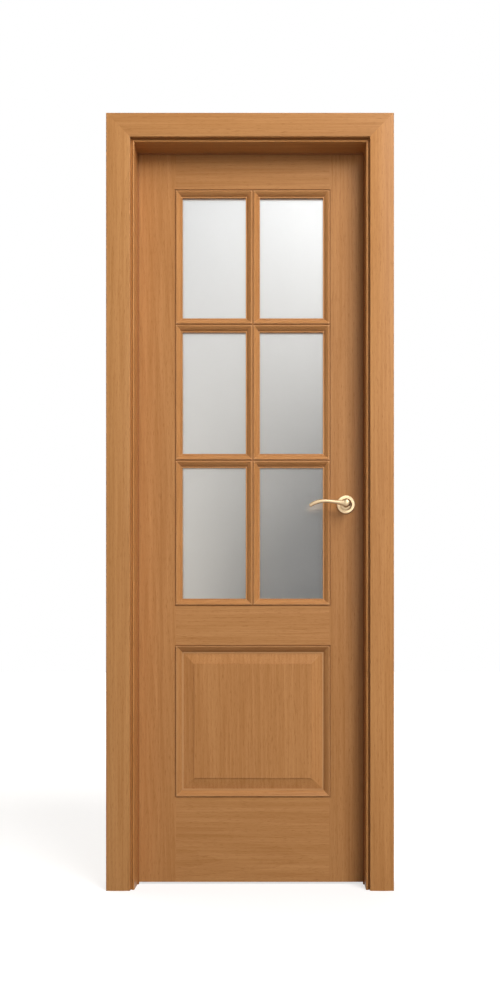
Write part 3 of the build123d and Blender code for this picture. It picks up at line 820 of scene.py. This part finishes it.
class DOOR_OT_frame_timber(bpy.types.Operator):
    """Finish the jambs and casings in lacquered oak"""

    bl_idname = "door.frame_timber"
    bl_label = "Jambs and casings"

    def execute(self, context):
        oak = context.scene.door_oak
        tints = {"frame_oak": oak.frame_tint, "casing_oak": oak.casing_tint}
        draw = random.Random(BOARD_SEED)
        for name in sorted(NODES):
            if SLOT_OF[name] in tints:
                dress(name, oak_board(name, oak, tints[SLOT_OF[name]], draw))
        return {"FINISHED"}


class DOOR_OT_leaf_timber(bpy.types.Operator):
    """Finish the stiles, rails, panel, bars, beads and mouldings in lacquered oak"""

    bl_idname = "door.leaf_timber"
    bl_label = "Leaf timber"

    def execute(self, context):
        oak = context.scene.door_oak
        draw = random.Random(BOARD_SEED + 1)
        for name in sorted(NODES):
            if SLOT_OF[name] == "leaf_oak":
                dress(name, oak_board(name, oak, oak.leaf_tint, draw))
        return {"FINISHED"}


class DOOR_OT_panes(bpy.types.Operator):
    """Frost the six panes"""

    bl_idname = "door.panes"
    bl_label = "Panes"

    def execute(self, context):
        material = frosted_glass(context.scene.door_glass)
        for name in NODES:
            if SLOT_OF[name] == "frosted_glass":
                dress(name, material)
        return {"FINISHED"}


class DOOR_OT_stop_seal(bpy.types.Operator):
    """Run a brown seal along the stop"""

    bl_idname = "door.stop_seal"
    bl_label = "Stop seal"

    def execute(self, context):
        settings = context.scene.door_seal
        new_piece("stop_seal", seal_shape(settings), "frame", seal_rubber(settings))
        return {"FINISHED"}


class DOOR_OT_brassware(bpy.types.Operator):
    """Finish the hinges, latch, strike, rosettes, levers and spindle"""

    bl_idname = "door.brassware"
    bl_label = "Brassware"

    def execute(self, context):
        settings = context.scene.door_brass
        finishes = {
            "satin_brass": satin_metal("satin_brass", settings.brass, settings.polish),
            "spindle_steel": satin_metal("spindle_steel", settings.steel, settings.polish),
        }
        for name in NODES:
            if SLOT_OF[name] in finishes:
                dress(name, finishes[SLOT_OF[name]])
        return {"FINISHED"}


class DOOR_OT_hinge_screws(bpy.types.Operator):
    """Add three screws to each hinge plate"""

    bl_idname = "door.hinge_screws"
    bl_label = "Hinge screws"

    def execute(self, context):
        for name in NODES:
            if name.endswith("hinge_frame_half"):
                add_plate_screws(name, (1, 0, 0), HINGE_SCREWS, context.scene.door_brass)
            elif name.endswith("hinge_leaf_half"):
                add_plate_screws(name, (-1, 0, 0), HINGE_SCREWS, context.scene.door_brass)
        return {"FINISHED"}


class DOOR_OT_lock_screws(bpy.types.Operator):
    """Add two screws to the strike plate and two to the latch faceplate"""

    bl_idname = "door.lock_screws"
    bl_label = "Lock screws"

    def execute(self, context):
        add_plate_screws("strike_plate", (-1, 0, 0), STRIKE_SCREWS, context.scene.door_brass)
        add_plate_screws("latch_faceplate", (1, 0, 0), FACEPLATE_SCREWS, context.scene.door_brass)
        return {"FINISHED"}


class DOOR_OT_stage(bpy.types.Operator):
    """Set the floor, the sheet behind the panes that paints their light and shade, the lamps and the camera
    """

    bl_idname = "door.stage"
    bl_label = "Stage"

    def execute(self, context):
        settings = context.scene.door_stage
        add_floor(settings)
        add_painted_pane_shading(context.scene.door_glass)
        set_world(settings)
        add_lamps(settings)
        add_camera(settings)
        context.scene.view_settings.view_transform = "Standard"
        return {"FINISHED"}


class DOOR_PT_sidebar(bpy.types.Panel):
    """Sizes, colours and steps of the door"""

    bl_idname = "DOOR_PT_sidebar"
    bl_label = "Door"
    bl_space_type = "VIEW_3D"
    bl_region_type = "UI"
    bl_category = "Door"

    def draw(self, context):
        for step in STEPS:
            self.layout.operator(step.bl_idname)
        for group in SETTINGS:
            box = self.layout.box()
            for field in SETTINGS[group].__annotations__:
                box.prop(getattr(context.scene, group), field)


SETTINGS = {
    "door_oak": OakSettings,
    "door_glass": GlassSettings,
    "door_seal": SealSettings,
    "door_brass": BrassSettings,
    "door_stage": StageSettings,
}
STEPS = (
    DOOR_OT_frame_timber,
    DOOR_OT_leaf_timber,
    DOOR_OT_panes,
    DOOR_OT_stop_seal,
    DOOR_OT_brassware,
    DOOR_OT_hinge_screws,
    DOOR_OT_lock_screws,
    DOOR_OT_stage,
)


def register():
    for kind in (*SETTINGS.values(), *STEPS, DOOR_PT_sidebar):
        bpy.utils.register_class(kind)
    for group, kind in SETTINGS.items():
        setattr(bpy.types.Scene, group, bpy.props.PointerProperty(type=kind))


def unregister():
    for group in SETTINGS:
        delattr(bpy.types.Scene, group)
    for kind in reversed((*SETTINGS.values(), *STEPS, DOOR_PT_sidebar)):
        bpy.utils.unregister_class(kind)


def main():
    register()
    bpy.ops.door.frame_timber()
    bpy.ops.door.leaf_timber()
    bpy.ops.door.panes()
    bpy.ops.door.stop_seal()
    bpy.ops.door.brassware()
    bpy.ops.door.hinge_screws()
    bpy.ops.door.lock_screws()
    bpy.ops.door.stage()


if __name__ == "__main__":
    main()
